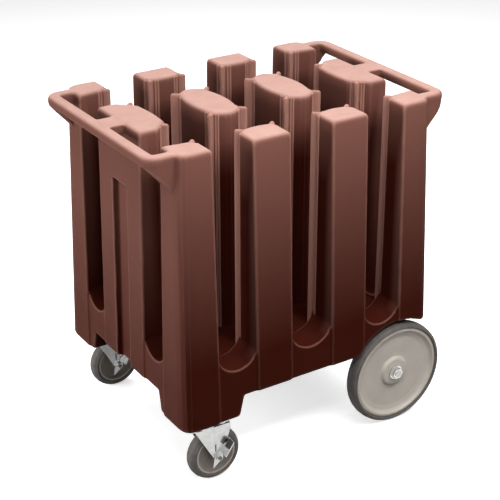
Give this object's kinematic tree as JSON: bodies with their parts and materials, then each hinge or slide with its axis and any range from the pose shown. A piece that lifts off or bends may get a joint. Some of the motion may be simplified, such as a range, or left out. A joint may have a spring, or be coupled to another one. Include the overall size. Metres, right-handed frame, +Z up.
{
  "type": "plate dispenser cart",
  "caption": "Hollow moulded plate caddy with ribbed wells between upright towers, end handle rails, large fixed wheels and braked swivel casters.",
  "frame": {"origin": "on the floor under the middle of the cart", "axes": "+X towards the fixed wheels, +Y to the left-hand side of the cart, +Z up"},
  "size_m": [0.758, 0.5636, 0.788],
  "materials": {
    "body_plastic": "dark brown moulded polyethylene, matte",
    "wheel_plastic": "warm grey moulded nylon, matte",
    "tyre_rubber": "dark grey solid rubber",
    "pad_rubber": "black ribbed rubber",
    "plated_steel": "bright zinc plate",
    "plain_steel": "satin zinc plate"
  },
  "bodies": {
    "chassis": {"body_base": "body_plastic", "corner_towers": "body_plastic", "side_towers": "body_plastic", "end_towers": "body_plastic", "centre_towers": "body_plastic", "handle_rails": "body_plastic", "axle": "plain_steel", "axle_bracket_right": "plain_steel", "axle_bracket_left": "plain_steel", "bracket_bolts": "plain_steel", "caster_bolts": "plain_steel", "wheel_spacer_right": "plain_steel", "wheel_washer_right": "plated_steel", "wheel_nut_right": "plated_steel", "wheel_spacer_left": "plain_steel", "wheel_washer_left": "plated_steel", "wheel_nut_left": "plated_steel", "caster_plate_right": "plated_steel", "caster_race_right": "plain_steel", "caster_balls_right": "plain_steel", "caster_kingpin_right": "plain_steel", "caster_plate_left": "plated_steel", "caster_race_left": "plain_steel", "caster_balls_left": "plain_steel", "caster_kingpin_left": "plain_steel"},
    "wheel_right": {"wheel_disc_right": "wheel_plastic", "wheel_tyre_right": "tyre_rubber", "wheel_bush_right": "plain_steel"},
    "fork_right": {"caster_fork_right": "plated_steel", "caster_bolt_right": "plain_steel", "caster_nut_right": "plated_steel", "caster_sleeve_right": "plain_steel"},
    "caster_wheel_right": {"caster_hub_right": "wheel_plastic", "caster_tyre_right": "tyre_rubber"},
    "brake_right": {"brake_lever_right": "plated_steel", "brake_pad_right": "pad_rubber"},
    "wheel_left": {"wheel_disc_left": "wheel_plastic", "wheel_tyre_left": "tyre_rubber", "wheel_bush_left": "plain_steel"},
    "fork_left": {"caster_fork_left": "plated_steel", "caster_bolt_left": "plain_steel", "caster_nut_left": "plated_steel", "caster_sleeve_left": "plain_steel"},
    "caster_wheel_left": {"caster_hub_left": "wheel_plastic", "caster_tyre_left": "tyre_rubber"},
    "brake_left": {"brake_lever_left": "plated_steel", "brake_pad_left": "pad_rubber"}
  },
  "joints": [
    {"name": "wheel_spin_right", "type": "hinge", "parent": "chassis", "child": "wheel_right", "pos_m": [0.244, -0.2595, 0.127], "axis": [0, 1, 0], "continuous": true},
    {"name": "caster_swivel_right", "type": "hinge", "parent": "chassis", "child": "fork_right", "pos_m": [-0.262, -0.236, 0.145], "axis": [0, 0, 1], "continuous": true},
    {"name": "caster_spin_right", "type": "hinge", "parent": "fork_right", "child": "caster_wheel_right", "pos_m": [-0.24, -0.236, 0.0635], "axis": [0, 1, 0], "continuous": true},
    {"name": "brake_right", "type": "hinge", "parent": "fork_right", "child": "brake_right", "pos_m": [-0.24, -0.236, 0.0635], "axis": [0, 1, 0], "range_deg": [0, 40]},
    {"name": "wheel_spin_left", "type": "hinge", "parent": "chassis", "child": "wheel_left", "pos_m": [0.244, 0.2595, 0.127], "axis": [0, 1, 0], "continuous": true},
    {"name": "caster_swivel_left", "type": "hinge", "parent": "chassis", "child": "fork_left", "pos_m": [-0.262, 0.236, 0.145], "axis": [0, 0, 1], "continuous": true},
    {"name": "caster_spin_left", "type": "hinge", "parent": "fork_left", "child": "caster_wheel_left", "pos_m": [-0.24, 0.236, 0.0635], "axis": [0, 1, 0], "continuous": true},
    {"name": "brake_left", "type": "hinge", "parent": "fork_left", "child": "brake_left", "pos_m": [-0.24, 0.236, 0.0635], "axis": [0, 1, 0], "range_deg": [0, 40]}
  ]
}
